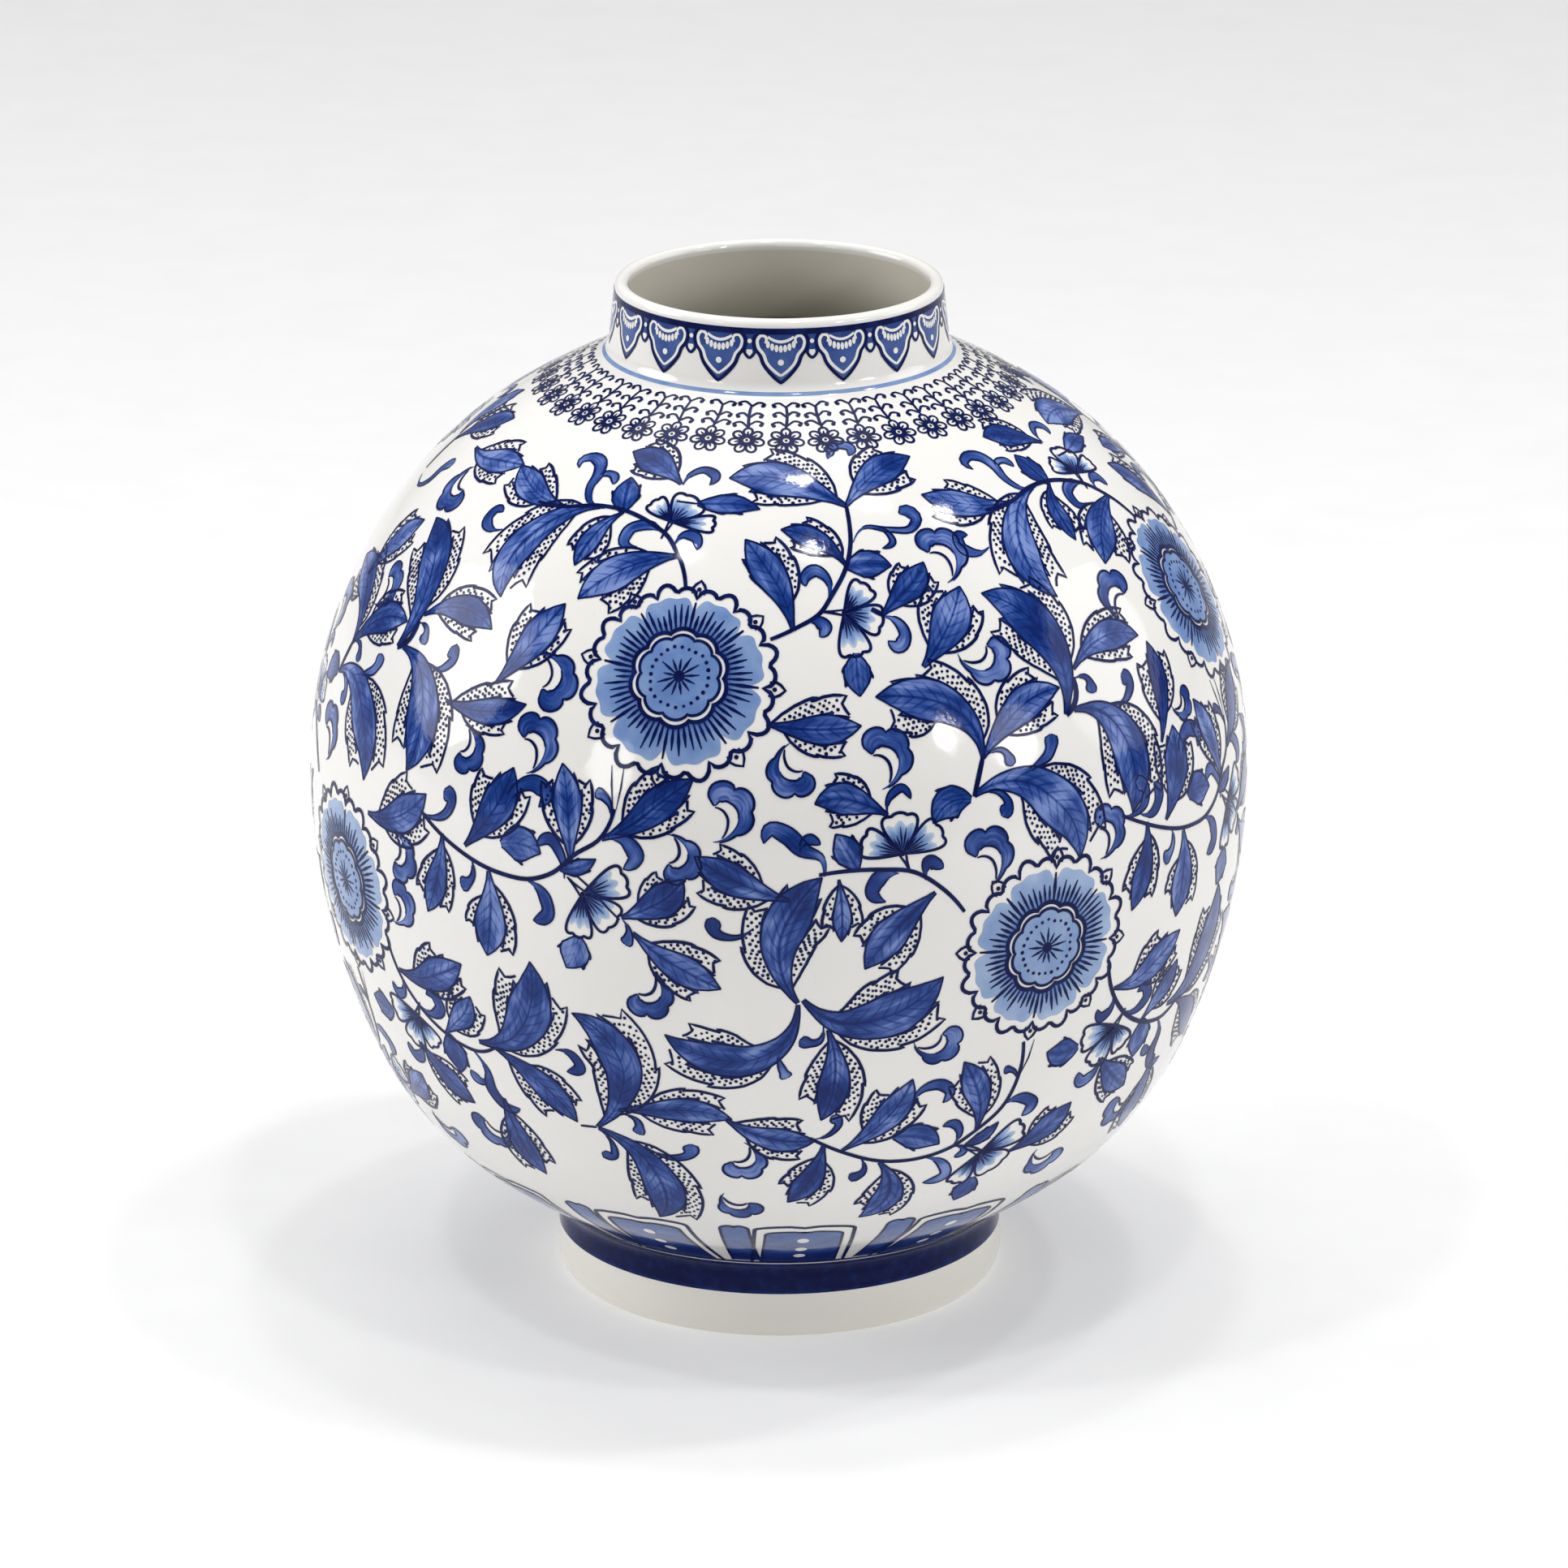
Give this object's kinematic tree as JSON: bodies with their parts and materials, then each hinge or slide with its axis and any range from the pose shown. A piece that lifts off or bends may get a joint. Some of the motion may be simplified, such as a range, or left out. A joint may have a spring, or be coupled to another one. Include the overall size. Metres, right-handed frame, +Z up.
{
  "type": "globe vase",
  "caption": "Round porcelain vase with a short neck, rounded lip and ring foot, painted all over in cobalt blue with flowers, leafy scrolls and borders.",
  "frame": {"origin": "centre of the circle that the foot ring stands on", "axes": "+Z up along the vase's axis of revolution, -Y towards the side with the large flower under the neck"},
  "size_m": [0.3, 0.3, 0.3298],
  "materials": {
    "glaze": "clear gloss glaze over white porcelain",
    "slip": "fired slip, matt",
    "cobalt": "underglaze cobalt linework and bands under clear gloss glaze",
    "wash": "underglaze cobalt wash, mid blue, under clear gloss glaze"
  },
  "bodies": {
    "root": {"foot_ring": "glaze", "lower_bowl": "glaze", "upper_dome": "glaze", "neck_collar": "glaze", "foot_luting_slip": "slip", "belly_luting_slip": "slip", "neck_luting_slip": "slip"}
  },
  "joints": []
}
